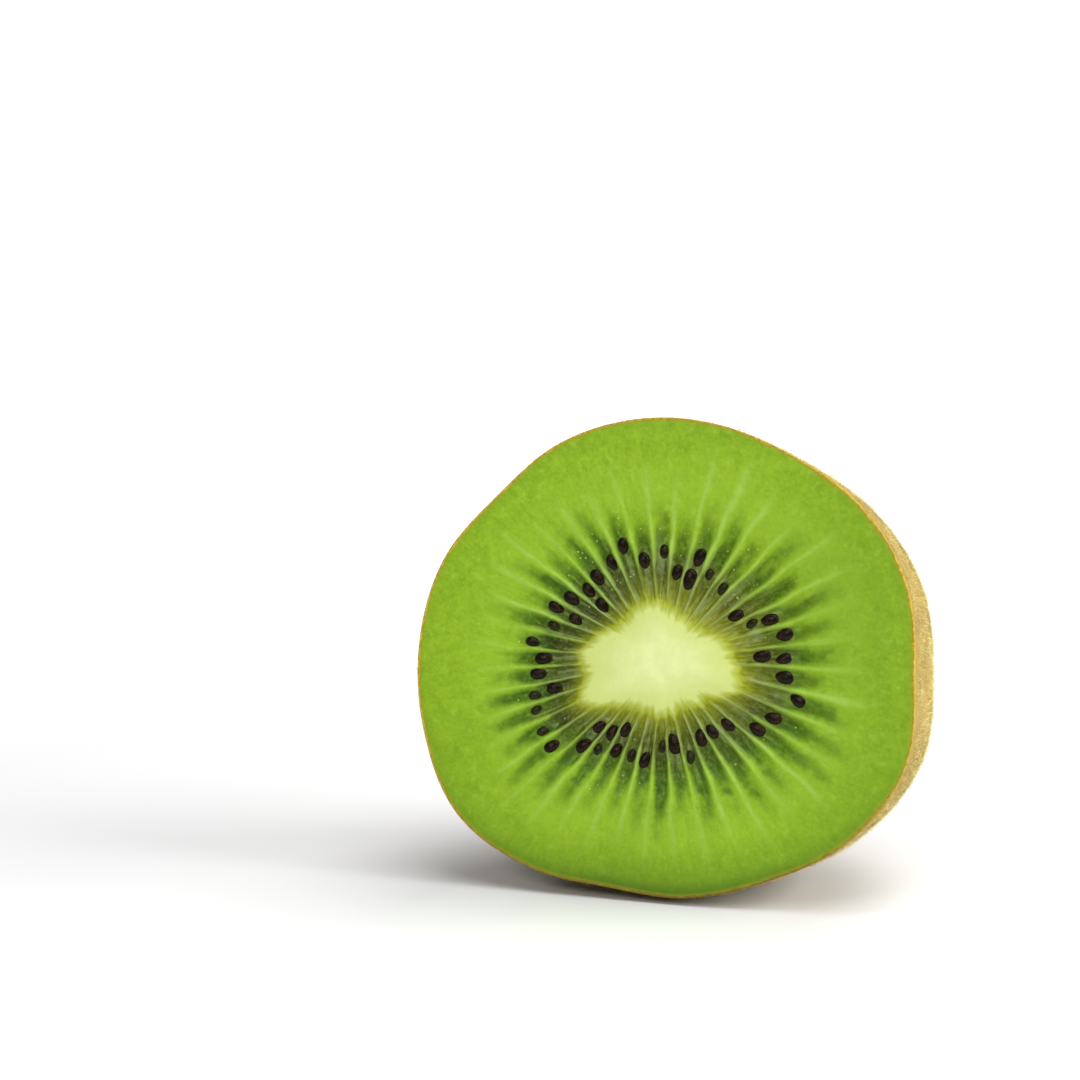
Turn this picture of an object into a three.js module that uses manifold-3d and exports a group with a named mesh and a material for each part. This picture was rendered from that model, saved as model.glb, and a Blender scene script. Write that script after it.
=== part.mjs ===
// Half of a kiwi fruit, cut crosswise. It stands on the side of its skin, with the cut face turned to
// the front and leaning back a little. Millimetres: +X runs to the right across the cut face, +Y goes
// back into the fruit and +Z is up. The origin is on the floor, under the middle of the fruit.
//
// The fruit is one body. It is shaped in its own frame first, where a point is given by its distance
// from the axis, its angle counterclockwise from the right as seen from the front, and its depth
// behind the cut. Its seeds are then fused on, it is leaned back, and its underside is flattened.

import * as THREE from 'three';
import { mergeVertices } from 'three/addons/utils/BufferGeometryUtils.js';
import Module from 'manifold-3d';

// Driving dimensions, in millimetres and degrees.
const HALF_LENGTH = 34; // from the cut face to the hidden end
const SHOULDER = 2.5; // exponent of the side profile: 2 is an ellipse, and more is squarer
const LEAN = 10; // how far the cut face leans back from upright
const FLAT_DEPTH = 0.75; // how deep the fruit's own weight flattens its underside
const SWELL = { depth: 0.3, lobes: 3, first: 8 }; // broad swells of the flanks, and the first one's angle

// Distance from the axis to the skin along the cut edge, at even steps round the fruit.
const OUTLINE = [
  27.2, 27.3, 26.6, 25.6, 25.4, 25.6, 25.9, 25.8, 27.2,
  27.7, 27.9, 28.2, 26.6, 24.6, 24.9, 25.6, 27.4, 28.4,
];

// Distance from the axis to the edge of the pale core, at even steps round the fruit.
const CORE = [
  7.8, 7.3, 6, 5, 4.8, 5.1, 5.8, 6.2, 6.1, 5.9, 6.3, 7.7,
  8.9, 8.6, 10.1, 7.4, 6, 5.6, 5.7, 5.5, 5.4, 6, 6.9, 8.9,
];
const CORE_RISE = 0.3; // how far the middle of the core stands proud of the cut

const SKIN = 0.5; // thickness of the skin's edge at the cut
const LIP = 0.12; // how far that edge stands proud of the flesh
const FLESH_FLAT = 4; // width of the level flesh inside it

const LOCULES = 40; // seed chambers round the core
const LOCULE_REACH = 0.64; // how far the chambers run from the axis, as a share of the outline
const LOCULE_DEPTH = 0.55; // how deep the soft chambers sink below the cut
const SEPTUM_DEPTH = 0.15; // how deep the firmer walls between them sink
const LOCULE_BLUNTNESS = 0.7; // below 1, the chambers get deep soon after their ends

// The first wall's angle, and the waves that crowd the walls together on one side.
const FIRST_SEPTUM = 12.3;
const CROWDING = [
  { waves: 1, degrees: 6.2, phase: -19 },
  { waves: 2, degrees: 2.1, phase: -161 },
];

// A seed is a drop with its narrow end towards the axis. Its middle lies above the chamber's floor.
const SEED = { length: 1.9, width: 1.2, thickness: 0.95, taper: 0.3, lift: 0.1 };
const SEED_SWAY = 0.3; // how far seeds stray sideways, as a share of their chamber
const GOLDEN = 0.618; // spreads the strays evenly

// Distance from the axis to each seed that the cut laid bare, chamber by chamber.
const SEEDS = [
  [13.6], [12.4, 10.4], [9.2], [], [9.9], [10.3], [11.5, 8.9], [9.3], [11.4], [10.7],
  [12.9], [11.8], [11.4], [11.1, 8.8], [12.1], [13.2, 10.6], [12.7], [14.7], [13.3], [14],
  [14.8, 12.4], [15.1], [15.4], [15.4], [12.6, 9.9], [11.8, 9.4], [10.8, 8.3], [10.6], [10.7], [9],
  [8.8], [10.6], [9.1], [9.2], [9.8], [12.6], [13.5], [15.4], [13.4], [13.2, 10.8],
];

// The scar at the hidden end: a low collar round a dimple, with the stub of the stalk in the dimple.
const SCAR = {
  collar: { inside: 4.4, outside: 6.6, height: 0.9 },
  dimple: { inside: 2, outside: 3.6, height: -1 },
  stub: { inside: 0.9, outside: 1.3, height: 0.7 },
};
const SCAR_SWAY = { share: 0.06, lobes: 3 }; // how far the scar is from round

// How finely the rings of the body are cut: shares of the way across each zone, and points round it.
const CORE_ROWS = [[0.34, 12], [0.68, 24], [0.9, 60]];
const LOCULE_ROWS = [0, 0.12, 0.35, 0.6, 0.85, 1];
const LIP_ROWS = [[1, 0.5], [0.7, -1], [0.15, -0.5]]; // shares of SKIN in from the edge, and of LIP deep
const SCAR_ROWS = [[1, 48], [0.85, 40], [0.7, 36], [0.58, 30], [0.47, 26], [0.35, 20], [0.24, 14], [0.14, 9]];
const RIM_POINTS = 90;
const SIDE_ROWS = 17;
const SIDE_END = 78; // how far round its quarter turn the side profile goes before the scar begins

const toRadians = THREE.MathUtils.degToRad;
const { lerp, smoothstep, euclideanModulo } = THREE.MathUtils;

// A smooth closed curve through values at even steps round a circle.
function around(values, degrees) {
  const count = values.length;
  const place = (euclideanModulo(degrees, 360) / 360) * count;
  const step = Math.floor(place);
  const share = place - step;
  const [before, start, end, after] = [-1, 0, 1, 2].map((k) => values[(step + k + count) % count]);
  const cubic = 3 * (start - end) + after - before;
  const square = 2 * before - 5 * start + 4 * end - after;
  return start + (share / 2) * (end - before + share * (square + share * cubic));
}

const meanRadius = OUTLINE.reduce((sum, radius) => sum + radius) / OUTLINE.length;
const rimRadius = (degrees) => around(OUTLINE, degrees);
const coreRadius = (degrees) => around(CORE, degrees);
const loculeEnd = (degrees) => LOCULE_REACH * rimRadius(degrees);

function septumAngle(index) {
  const even = (360 / LOCULES) * index;
  const shift = ({ waves, degrees, phase }) => degrees * Math.sin(toRadians(waves * even + phase));
  return CROWDING.reduce((sum, wave) => sum + shift(wave), FIRST_SEPTUM + even);
}

// Chambers are deepest where the seeds lie, and run out level at both ends.
function loculeDepth(share, deepest) {
  const inside = THREE.MathUtils.clamp(share, 0, 1);
  return deepest * Math.sin(Math.PI * inside) ** LOCULE_BLUNTNESS;
}

// The body is a stack of closed rings, from the middle of the cut face, over its rim and along the
// skin to the hidden end. Neighbouring rings may hold different numbers of points.
const points = [];
const triangles = [];

function addPoint(radius, degrees, depth) {
  points.push(radius * Math.cos(toRadians(degrees)), depth, radius * Math.sin(toRadians(degrees)));
  return points.length / 3 - 1;
}

function addRing(angles, place) {
  return angles.map((degrees, index) => ({ degrees, id: addPoint(...place(degrees, index)) }));
}

function evenAngles(count) {
  return Array.from({ length: count }, (_, k) => septumAngle(0) + (360 / count) * k);
}

// Joins two rings with triangles, stepping along whichever ring is behind.
function bridge(inner, outer) {
  const angleOf = (ring, k) => (k < ring.length ? ring[k].degrees : ring[k - ring.length].degrees + 360);
  const idOf = (ring, k) => ring[k % ring.length].id;
  let i = 0;
  let j = 0;
  while (i < inner.length || j < outer.length) {
    const innerNext = i < inner.length ? angleOf(inner, i + 1) : Infinity;
    const outerNext = j < outer.length ? angleOf(outer, j + 1) : Infinity;
    triangles.push(idOf(inner, i), idOf(outer, j));
    if (innerNext < outerNext) {
      i += 1;
      triangles.push(idOf(inner, i));
    } else {
      j += 1;
      triangles.push(idOf(outer, j));
    }
  }
}

function closeFront(middle, ring) {
  ring.forEach(({ id }, k) => triangles.push(middle, id, ring[(k + 1) % ring.length].id));
}

function closeBack(middle, ring) {
  ring.forEach(({ id }, k) => triangles.push(middle, ring[(k + 1) % ring.length].id, id));
}

// A depth below zero stands proud of the cut.
const coreDepth = (share) => -CORE_RISE * (1 - share * share);

function coreRings() {
  return CORE_ROWS.map(([share, count]) =>
    addRing(evenAngles(count), (degrees) => [coreRadius(degrees) * share, degrees, coreDepth(share)]),
  );
}

// Three points for each chamber: its first wall, and the two sides of its floor.
const FLOOR_SIDES = [0.28, 0.72];

function loculeRings() {
  const stations = Array.from({ length: LOCULES }, (_, index) => {
    const [start, end] = [septumAngle(index), septumAngle(index + 1)];
    const floor = FLOOR_SIDES.map((share) => ({ degrees: lerp(start, end, share), deepest: LOCULE_DEPTH }));
    return [{ degrees: start, deepest: SEPTUM_DEPTH }, ...floor];
  }).flat();
  const angles = stations.map(({ degrees }) => degrees);
  return LOCULE_ROWS.map((share) =>
    addRing(angles, (degrees, index) => {
      const radius = lerp(coreRadius(degrees), loculeEnd(degrees), share);
      return [radius, degrees, loculeDepth(share, stations[index].deepest)];
    }),
  );
}

// The firm flesh, then the skin's edge, which stands up round it like the rim of a plate.
function rimRings() {
  const skinRows = LIP_ROWS.map(([inset, depth]) => [SKIN * inset, LIP * depth]);
  return [[FLESH_FLAT, 0], ...skinRows].map(([inset, depth]) =>
    addRing(evenAngles(RIM_POINTS), (degrees) => [rimRadius(degrees) - inset, degrees, depth]),
  );
}

// The outline at the cut turns rounder towards the hidden end.
function skinRadius(degrees, along) {
  const outline = lerp(rimRadius(degrees), meanRadius, along * along);
  const swell = SWELL.depth * Math.sin(Math.PI * along);
  return outline + swell * Math.cos(toRadians(SWELL.lobes * (degrees - SWELL.first)));
}

function sideRings() {
  return Array.from({ length: SIDE_ROWS }, (_, k) => {
    const turn = toRadians((SIDE_END * (k + 0.5)) / (SIDE_ROWS - 0.5));
    const width = Math.cos(turn) ** (2 / SHOULDER);
    const along = Math.sin(turn) ** (2 / SHOULDER);
    const place = (degrees) => [skinRadius(degrees, along) * width, degrees, HALF_LENGTH * along];
    return addRing(evenAngles(RIM_POINTS), place);
  });
}

function endDepth(radius) {
  const rounded = HALF_LENGTH * (1 - (radius / meanRadius) ** SHOULDER) ** (1 / SHOULDER);
  const relief = Object.values(SCAR).map(
    ({ inside, outside, height }) => height * (1 - smoothstep(radius, inside, outside)),
  );
  return rounded + relief.reduce((sum, part) => sum + part);
}

function scarRings() {
  return SCAR_ROWS.map(([share, count]) => {
    const radius = SCAR.collar.outside * share;
    const sway = (degrees) => SCAR_SWAY.share * Math.sin(toRadians(SCAR_SWAY.lobes * degrees));
    const place = (degrees) => [radius * (1 + sway(degrees)), degrees, endDepth(radius)];
    return addRing(evenAngles(count), place);
  });
}

function fruitGeometry() {
  const rings = [...coreRings(), ...loculeRings(), ...rimRings(), ...sideRings(), ...scarRings()];
  closeFront(addPoint(0, 0, coreDepth(0)), rings[0]);
  rings.slice(1).forEach((ring, k) => bridge(rings[k], ring));
  closeBack(addPoint(0, 0, endDepth(0)), rings[rings.length - 1]);
  const geometry = new THREE.BufferGeometry();
  geometry.setAttribute('position', new THREE.Float32BufferAttribute(points, 3));
  geometry.setIndex(triangles);
  return geometry;
}

function seedGeometry(radius, degrees) {
  const seed = new THREE.SphereGeometry(1, 6, 4).rotateZ(Math.PI / 2);
  const position = seed.getAttribute('position');
  for (let k = 0; k < position.count; k += 1) {
    const breadth = 1 + SEED.taper * position.getX(k);
    position.setXYZ(k, position.getX(k), position.getY(k) * breadth, position.getZ(k) * breadth);
  }
  const share = (radius - coreRadius(degrees)) / (loculeEnd(degrees) - coreRadius(degrees));
  const depth = loculeDepth(share, LOCULE_DEPTH) - SEED.lift;
  return seed
    .scale(SEED.length / 2, SEED.thickness / 2, SEED.width / 2)
    .translate(radius, depth, 0)
    .rotateY(-toRadians(degrees));
}

function seedGeometries() {
  const laid = SEEDS.flatMap((radii, chamber) => radii.map((radius) => ({ radius, chamber })));
  return laid.map(({ radius, chamber }, k) => {
    const stray = (((k + 1) * GOLDEN) % 1) - 0.5;
    const degrees = lerp(septumAngle(chamber), septumAngle(chamber + 1), 0.5 + SEED_SWAY * stray);
    return seedGeometry(radius, degrees);
  });
}

const wasm = await Module();
wasm.setup();

function solidFrom(geometry) {
  geometry.deleteAttribute('normal');
  geometry.deleteAttribute('uv');
  const merged = mergeVertices(geometry);
  const vertProperties = Float32Array.from(merged.getAttribute('position').array);
  const triVerts = Uint32Array.from(merged.getIndex().array);
  return new wasm.Manifold(new wasm.Mesh({ numProp: 3, vertProperties, triVerts }));
}

function geometryFrom(solid) {
  const mesh = solid.getMesh();
  const geometry = new THREE.BufferGeometry();
  geometry.setAttribute('position', new THREE.Float32BufferAttribute(mesh.vertProperties, 3));
  geometry.setIndex(Array.from(mesh.triVerts));
  return geometry;
}

function leanAndLower(geometry) {
  geometry.rotateX(-toRadians(LEAN));
  geometry.computeBoundingBox();
  return geometry.translate(0, 0, -geometry.boundingBox.min.z - FLAT_DEPTH);
}

// Everything below the floor is cut away, which leaves the flat spot that the fruit rests on.
function restOnFloor(geometry) {
  const room = 4 * HALF_LENGTH;
  const aboveFloor = new THREE.BoxGeometry(room, room, room).translate(0, 0, room / 2);
  return geometryFrom(solidFrom(geometry).intersect(solidFrom(aboveFloor)));
}

function centreOverOrigin(geometry) {
  geometry.computeBoundingBox();
  const middle = geometry.boundingBox.getCenter(new THREE.Vector3());
  return geometry.translate(-middle.x, -middle.y, 0);
}

const bare = solidFrom(fruitGeometry());
const seeded = seedGeometries().reduce((body, seed) => body.add(solidFrom(seed)), bare);
const geometry = centreOverOrigin(restOnFloor(leanAndLower(geometryFrom(seeded))));
geometry.computeVertexNormals();

const flesh = new THREE.MeshStandardMaterial({ color: 0x8db72e, roughness: 0.45, metalness: 0 });
const kiwiHalf = new THREE.Mesh(geometry, flesh);
kiwiHalf.name = 'kiwi_half';

const group = new THREE.Group();
group.add(kiwiHalf);

export default group;
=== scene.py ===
"""Half of a kiwi fruit, cut crosswise and standing on its skin: its looks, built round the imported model.

The fruit's lengths are in mm, until place_in_frame gives metres. A place in it is its distance to the
axis, its angle in degrees, counterclockwise from the right as seen from the front, and its depth behind
the cut. Turns are in radians. Lists of values round the fruit start at the right and go in even steps.
"""

from itertools import product
from types import SimpleNamespace

import bpy
import numpy as np
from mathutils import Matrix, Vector


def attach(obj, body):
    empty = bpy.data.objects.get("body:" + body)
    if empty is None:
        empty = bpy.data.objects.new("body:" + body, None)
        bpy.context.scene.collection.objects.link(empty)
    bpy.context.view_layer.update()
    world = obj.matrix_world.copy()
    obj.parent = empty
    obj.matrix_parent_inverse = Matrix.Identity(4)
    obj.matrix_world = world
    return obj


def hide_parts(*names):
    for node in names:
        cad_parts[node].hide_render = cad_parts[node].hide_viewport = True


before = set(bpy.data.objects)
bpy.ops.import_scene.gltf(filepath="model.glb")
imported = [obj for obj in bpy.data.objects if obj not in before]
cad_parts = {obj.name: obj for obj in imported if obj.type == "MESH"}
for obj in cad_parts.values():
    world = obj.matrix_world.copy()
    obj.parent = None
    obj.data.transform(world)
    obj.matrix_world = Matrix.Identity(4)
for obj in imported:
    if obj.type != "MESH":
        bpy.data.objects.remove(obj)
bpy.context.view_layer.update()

MM = 0.001

# ------------------------------------------------------------------ the fruit's shape
HALF_LENGTH = 34  # from the cut to the hidden end
SHOULDER = 2.5  # exponent of the side profile: 2 is an ellipse, and more is squarer
LEAN = 10  # how far the cut leans back from upright
SWELL = dict(depth=0.3, lobes=3, first=8)  # broad swells of the flanks, and the first one's angle
DENT = dict(depth=0.4, at=20, width=30)  # a flatter stretch of the flank
OUTLINE = [  # from the axis to the skin, along the cut
    27.2, 27.3, 26.6, 25.6, 25.4, 25.6, 25.9, 25.8, 27.2,
    27.7, 27.9, 28.2, 26.6, 24.6, 24.9, 25.6, 27.4, 28.4,
]
# How far the scene's cut strays from that outline, which the model's cut follows as it is.
RIM_SWAY = [0.1, 0.24, 0, 0.12, -0.05, -0.18, -0.13, 0.15, -0.12, 0.2, 0.15, 0.1]
MEAN_RADIUS = sum(OUTLINE) / len(OUTLINE)
CORE = [  # from the axis to the edge of the pale core
    7.8, 7.3, 6, 5, 4.8, 5.1, 5.8, 6.2, 6.1, 5.9, 6.3, 7.7,
    8.9, 8.6, 10.1, 7.4, 6, 5.6, 5.7, 5.5, 5.4, 6, 6.9, 8.9,
]
CORE_RISE = 0.3  # how far the middle of the core stands proud of the cut
SKIN = 0.18  # how thick the skin is where it is cut
FUZZ_ROOM = 0.18  # how far the skin lies inside the model, so that its fuzz ends about where the model does

LOCULES = 40  # seed chambers, with a septum, a wall of firmer flesh, between each two
LOCULE_REACH = 0.64  # how far they run from the axis, as a share of the cut's radius
LOCULE_DEPTH = 0.55  # how deep they sink below the cut
SEPTUM_DEPTH = 0.15  # how deep the walls between them sink
FLOOR_SIDE = 0.28  # how far from a wall a chamber is at its deepest, as a share of its width
STEEP, SHALLOW = 0.7, 1.7  # exponents of a chamber's floor, beside the core and at its outer end
FIRST_SEPTUM = 12.3
CROWDING = [(1, 6.2, -19), (2, 2.1, -161)]  # waves, degrees and phase: they crowd the walls on one side

# A seed is a drop with its narrow end towards the axis. Its middle lies close to the chamber's floor.
SEED = dict(length=1.95, width=1.3, thickness=0.95, taper=0.2, lift=0.1)
SEED_SWAY = 0.3  # how far seeds stray sideways, as a share of their chamber
GOLDEN = 0.618  # spreads the strays evenly
SEEDS = [  # from the axis to each seed, chamber by chamber
    [13.6], [12.4, 10.4], [9.2], [], [9.9], [10.3], [11.5, 8.9], [9.3], [11.4], [10.7],
    [12.9], [11.8], [11.4], [11.1, 8.8], [12.1], [13.2, 10.6], [12.7], [14.7], [13.3], [14],
    [14.8, 12.4], [15.1], [15.4], [15.4], [12.6, 9.9], [11.8, 9.4], [10.8, 8.3], [10.6], [10.7], [9],
    [8.8], [10.6], [9.1], [9.2], [9.8], [12.6], [13.5], [15.4], [13.4], [13.2, 10.8],
]
SUNKEN_SEEDS = [2, 4, 5, 9, 19, 23, 25, 26, 30, 34, 36, 38]  # numbers of the seeds under a film of gel
SUNKEN = dict(deeper=0.16, size=0.93, veil=0.6)
BIG_SEEDS = [7, 37]
BIG_SIZE = 1.2

# The stalk scar's collar, dimple and stub: the radius out to which it is whole, the one where it ends,
# and its height.
SCAR = [(4.4, 6.6, 0.9), (2, 3.6, -1), (0.9, 1.3, 0.7)]
SCAR_SWAY = dict(share=0.06, lobes=3)  # how far the scar is from round

# The fruit's own directions in the frame, and the middle of its cut: the core's summit is the point
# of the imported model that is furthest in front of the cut.
ACROSS = np.array([1.0, 0.0, 0.0])
UP = np.array([0.0, np.sin(np.radians(LEAN)), np.cos(np.radians(LEAN))])
INTO = np.array([0.0, np.cos(np.radians(LEAN)), -np.sin(np.radians(LEAN))])
cad_points = np.array([v.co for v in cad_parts["kiwi_half"].data.vertices]) / MM
CUT_CENTRE = cad_points[(cad_points @ INTO).argmin()] + CORE_RISE * INTO


def smooth(low, high, value):
    """0 below low and 1 above high, with a smooth step between, and the other way round if high < low."""
    share = np.clip((value - low) / (high - low), 0, 1)
    return share * share * (3 - 2 * share)


def lerp(start, end, share):
    return start + (end - start) * share


def bell(value):
    return np.exp(-np.square(value))


def unit(vectors):
    return vectors / (np.linalg.norm(vectors, axis=-1, keepdims=True) + 1e-12)


def around(values, degrees):
    """A smooth closed curve through values at even steps round a circle."""
    values = np.asarray(values, float)
    place = np.mod(degrees, 360) / 360 * len(values)
    step = np.floor(place).astype(int)
    share = place - step
    before, start, end, after = (values[(step + k) % len(values)] for k in (-1, 0, 1, 2))
    cubic = 3 * (start - end) + after - before
    square = 2 * before - 5 * start + 4 * end - after
    return start + share / 2 * (end - before + share * (square + share * cubic))


def septum_angle(index):
    even = 360 / LOCULES * np.asarray(index, float)
    shifts = sum(size * np.sin(np.radians(waves * even + phase)) for waves, size, phase in CROWDING)
    return FIRST_SEPTUM + even + shifts


def locule_angle(place):
    """The angle of a place counted in chambers: 3.5 is the middle of the fourth one."""
    index = np.floor(place)
    return lerp(septum_angle(index), septum_angle(index + 1), place - index)


def rim_radius(degrees):
    return around(OUTLINE, degrees) + around(RIM_SWAY, degrees)


def core_radius(degrees):
    return around(CORE, degrees)


def locule_ends(degrees):
    """How far from the axis the chambers begin, at the core's edge, and end."""
    return core_radius(degrees), LOCULE_REACH * rim_radius(degrees)


def locule_depth(share, deepest):
    """Steep beside the core and shallow towards the outer end."""
    share = np.clip(share, 0, 1)
    return deepest * np.sin(np.pi * share) ** lerp(STEEP, SHALLOW, share)


def skin_section(turn):
    """How far out and along the side profile is, from the cut, at 0, to the end, at a quarter turn."""
    return np.cos(turn) ** (2 / SHOULDER), np.sin(turn) ** (2 / SHOULDER)


def skin_radius(degrees, along):
    """The radius to be narrowed by skin_section, from the cut's uneven outline to a round end."""
    outline = lerp(rim_radius(degrees), MEAN_RADIUS, along * along)
    wave = SWELL["depth"] * np.cos(np.radians(SWELL["lobes"] * (degrees - SWELL["first"])))
    from_dent = np.mod(degrees - DENT["at"] + 180, 360) - 180
    dent = DENT["depth"] * bell(from_dent / DENT["width"])
    return outline + (wave - dent) * np.sin(np.pi * along) - FUZZ_ROOM * smooth(0, 0.08, along)


def scar_height(radius, degrees):
    radius = radius / (1 + SCAR_SWAY["share"] * np.sin(np.radians(SCAR_SWAY["lobes"] * degrees)))
    return sum(height * smooth(outside, inside, radius) for inside, outside, height in SCAR)


def place_in_frame(radius, degrees, depth):
    """Points of the frame, in metres. The floor flattens the lowest ones."""
    radius, degrees, depth = np.broadcast_arrays(radius, degrees, depth)
    angle = np.radians(degrees)
    spot = (
        CUT_CENTRE
        + (radius * np.cos(angle))[..., None] * ACROSS
        + (radius * np.sin(angle))[..., None] * UP
        + depth[..., None] * INTO
    )
    spot[..., 2] = np.maximum(spot[..., 2], 0)
    return spot * MM


def place_from_sides(x, y, depth):
    """As place_in_frame, from the distances to the right of the axis and up from it."""
    return place_in_frame(np.hypot(x, y), np.degrees(np.arctan2(y, x)), depth)


# ------------------------------------------------------------------ seeded noise
SCATTER = (374761393, 668265263, 2147483629, 1274126177, 1103515245)  # large odd numbers
ALL_BITS, LOW_BITS = 0xFFFFFFFF, 0xFFFF


def hashed(x, y, z, seed):
    """A number from -1 to 1 for each whole place, with no pattern to it."""
    mixed = (x * SCATTER[0] + y * SCATTER[1] + z * SCATTER[2] + seed * SCATTER[3]) & ALL_BITS
    mixed = ((mixed ^ (mixed >> 13)) * SCATTER[4]) & ALL_BITS
    return ((mixed ^ (mixed >> 16)) & LOW_BITS) / (LOW_BITS / 2) - 1


def noise(x, y=0.0, z=0.0, *, seed):
    """Smooth noise from -1 to 1, with one bump to each unit of its coordinates."""
    x, y, z = np.broadcast_arrays(x, y, z)
    corner = [np.floor(v).astype(np.int64) for v in (x, y, z)]
    share = [smooth(0, 1, v - c) for v, c in zip((x, y, z), corner)]
    total = 0
    for sides in product((0, 1), repeat=3):
        weight = 1
        for s, side in zip(share, sides):
            weight = weight * (s if side else 1 - s)
        total = total + weight * hashed(*(c + side for c, side in zip(corner, sides)), seed)
    return total


# ------------------------------------------------------------------ meshes
def add_piece(name, points, faces, material, layout, values=None):
    """Values hold a number or a vector for each point, and layout each face corner's place in a square."""
    mesh = bpy.data.meshes.new(name)
    mesh.from_pydata(points.reshape(-1, 3).tolist(), [], faces)
    for key, data in (values or {}).items():
        vector = data.ndim == 2
        layer = mesh.attributes.new(key, "FLOAT_VECTOR" if vector else "FLOAT", "POINT")
        layer.data.foreach_set("vector" if vector else "value", data.astype(np.float32).ravel())
    mesh.uv_layers.new(name="OFBake").data.foreach_set("uv", layout.astype(np.float32).ravel())
    mesh.polygons.foreach_set("use_smooth", np.ones(len(mesh.polygons), bool))
    mesh.materials.append(material)
    piece = bpy.data.objects.new(name, mesh)
    bpy.context.scene.collection.objects.link(piece)
    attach(piece, "root")
    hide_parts("kiwi_half")


def stack_faces(rows, columns):
    """Faces of a stack of rings, closed by a point at each end: first its point, then the rings' points."""
    ring = np.arange(columns)
    after = (ring + 1) % columns
    starts = 1 + np.arange(rows - 1)[:, None] * columns
    quads = np.stack([starts + ring, starts + columns + ring, starts + columns + after, starts + after], -1)
    last = 1 + (rows - 1) * columns
    front = np.stack([np.zeros(columns, int), 1 + ring, 1 + after], -1)
    back = np.stack([np.full(columns, last + columns), last + after, last + ring], -1)
    return quads.reshape(-1, 4).tolist() + front.tolist() + back.tolist()


def with_ends(values):
    """The rings' values, row by row, between the mean of the first ring and the mean of the last."""
    flat = values.reshape(-1, *values.shape[2:])
    return np.concatenate([values[:1].mean(1), flat, values[-1:].mean(1)])


def disc_layout(spread, columns, faces):
    """Lays a closed stack out as a disc, with each ring spread from 0, in the middle, to 1, at the edge."""
    turn = np.arange(columns) * 2 * np.pi / columns
    circle = np.stack([np.cos(turn), np.sin(turn)], -1)
    places = with_ends(0.5 + 0.49 * np.asarray(spread)[:, None, None] * circle)
    corners = places[np.concatenate(faces)]
    # The triangles that close the outer end get a thin strip of their own round the disc.
    fans = corners[-6 * columns :].reshape(2, columns, 3, 2)
    outer = fans[1 if spread[-1] > spread[0] else 0]
    outer[:, 0] = 0.5 + (outer[:, 1:].mean(1) - 0.5) * 1.01
    return corners


def cells(count):
    """The corner of each of count cells in the unit square, and their side."""
    side = int(np.ceil(np.sqrt(count)))
    number = np.arange(count)
    return np.stack([number % side, number // side], -1) / side, 1 / side


def many(shapes, faces, layout):
    """Joins copies of one mesh: all their points, the faces numbered through, and each layout in its cell."""
    count = len(shapes[0])
    corner, side = cells(len(shapes))
    numbered = [[k * count + i for i in face] for k in range(len(shapes)) for face in faces]
    return np.concatenate(shapes), numbered, (corner[:, None] + side * layout).reshape(-1, 2)


def ball(rows, columns):
    """A unit ball's points, faces and layout, with its ends at +1 and -1 of its first axis.

    Its faces point outwards once its third axis is the depth into the fruit.
    """
    polar = np.linspace(0, np.pi, rows + 2)[1:-1, None]
    spin = np.linspace(0, -2 * np.pi, columns, endpoint=False)[None]
    length, wide = np.cos(polar), np.sin(polar)
    ring = np.stack([length + 0 * spin, wide * np.cos(spin), wide * np.sin(spin)], -1)
    faces = stack_faces(rows, columns)
    points = np.concatenate([[[1, 0, 0]], ring.reshape(-1, 3), [[-1, 0, 0]]])
    return points, faces, disc_layout(np.arange(1, rows + 1) / rows, columns, faces)


# ------------------------------------------------------------------ materials
MIX_FIRST, MIX_SECOND, MIX_RESULT = 6, 7, 2  # the mix node's sockets for colours


def srgb(red, green, blue):
    channels = np.array([red, green, blue]) / 255
    linear = np.where(channels <= 0.04045, channels / 12.92, ((channels + 0.055) / 1.055) ** 2.4)
    return (*linear.tolist(), 1.0)


def join(tree, value, socket):
    """Links a socket to another one, or gives it a uniform value."""
    if isinstance(value, bpy.types.NodeSocket):
        tree.links.new(value, socket)
    else:
        socket.default_value = value


def add_node(tree, kind, inputs, output=0, **settings):
    made = tree.nodes.new(kind)
    for key, value in settings.items():
        setattr(made, key, value)
    for key, value in inputs.items():
        join(tree, value, made.inputs[key])
    return made.outputs[output]


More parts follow.
